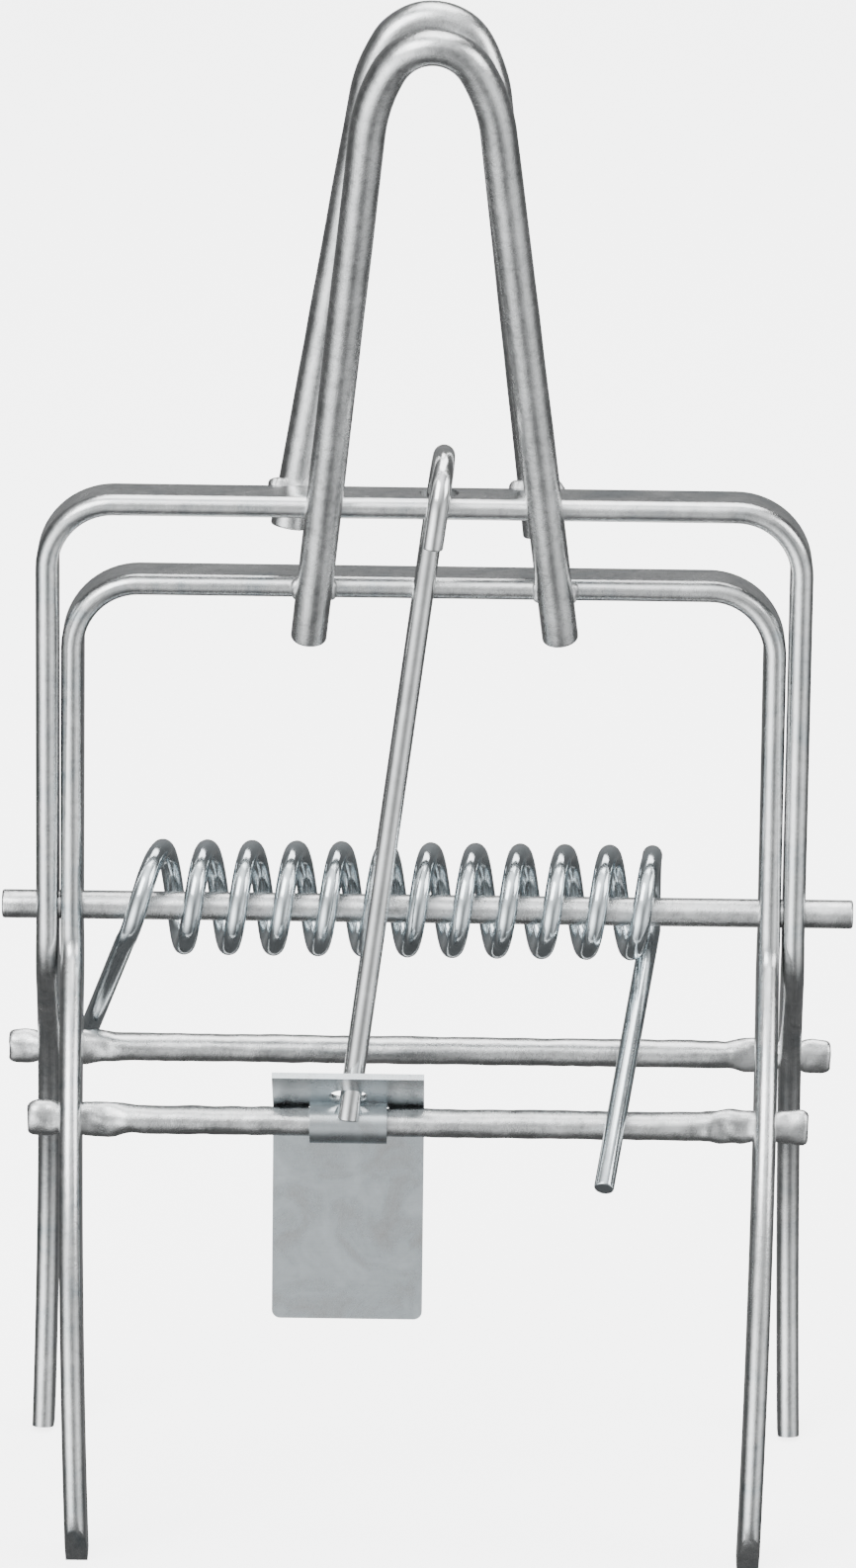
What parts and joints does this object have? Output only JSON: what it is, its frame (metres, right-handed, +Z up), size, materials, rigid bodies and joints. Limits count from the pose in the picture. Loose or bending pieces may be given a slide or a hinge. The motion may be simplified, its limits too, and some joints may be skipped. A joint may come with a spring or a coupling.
{
  "type": "mole trap",
  "caption": "Tong-style wire mole trap, set: two nested strip frames on a pivot rod, loop handles, a torsion spring, a hooked latch rod and a sheet trigger plate.",
  "frame": {"origin": "centre of the bounding box at the level of the four leg tips, which stand on z = 0", "axes": "+Z up, the front with the trigger plate faces -Y, +X to the right seen from the front"},
  "size_m": [0.1188, 0.0652, 0.2179],
  "materials": {
    "strip": "bright zinc plate on rolled strip, finely grained",
    "handle_wire": "bright zinc plate, mottled",
    "rod": "bright zinc plate on drawn rod",
    "spring_wire": "glossy zinc plate, faintly blue",
    "latch_wire": "glossy zinc plate on drawn wire",
    "sheet": "smooth zinc plate, cloudy",
    "weld": "plated weld bead"
  },
  "bodies": {
    "rear_jaw": {"outer_frame": "strip", "rear_handle": "handle_wire", "rear_weld_left": "weld", "rear_weld_right": "weld", "rear_crossbar": "rod", "pivot_rod": "rod", "torsion_spring": "spring_wire"},
    "front_jaw": {"inner_frame": "strip", "front_handle": "handle_wire", "front_weld_left": "weld", "front_weld_right": "weld", "front_crossbar": "rod"},
    "latch": {"latch_rod": "latch_wire"},
    "trigger": {"trigger_plate": "sheet"}
  },
  "joints": [
    {"name": "jaw_close", "type": "hinge", "parent": "rear_jaw", "child": "front_jaw", "pos_m": [0, 0, 0.0869], "axis": [1, 0, 0], "range_deg": [0, 26], "deforming": ["torsion_spring"]},
    {"name": "latch_swing", "type": "hinge", "parent": "rear_jaw", "child": "latch", "pos_m": [0.00075, -0.00795, 0.14764], "axis": [0.9912, 0, -0.1323], "range_deg": [-98.9, 0]},
    {"name": "trigger_tilt", "type": "hinge", "parent": "front_jaw", "child": "trigger", "pos_m": [-0.01055, -0.0163, 0.06085], "axis": [1, 0, 0], "range_deg": [-4, 4]}
  ],
  "couplings": [
    {"joint": "latch_swing", "follows": "jaw_close", "ratio": -3.8}
  ]
}
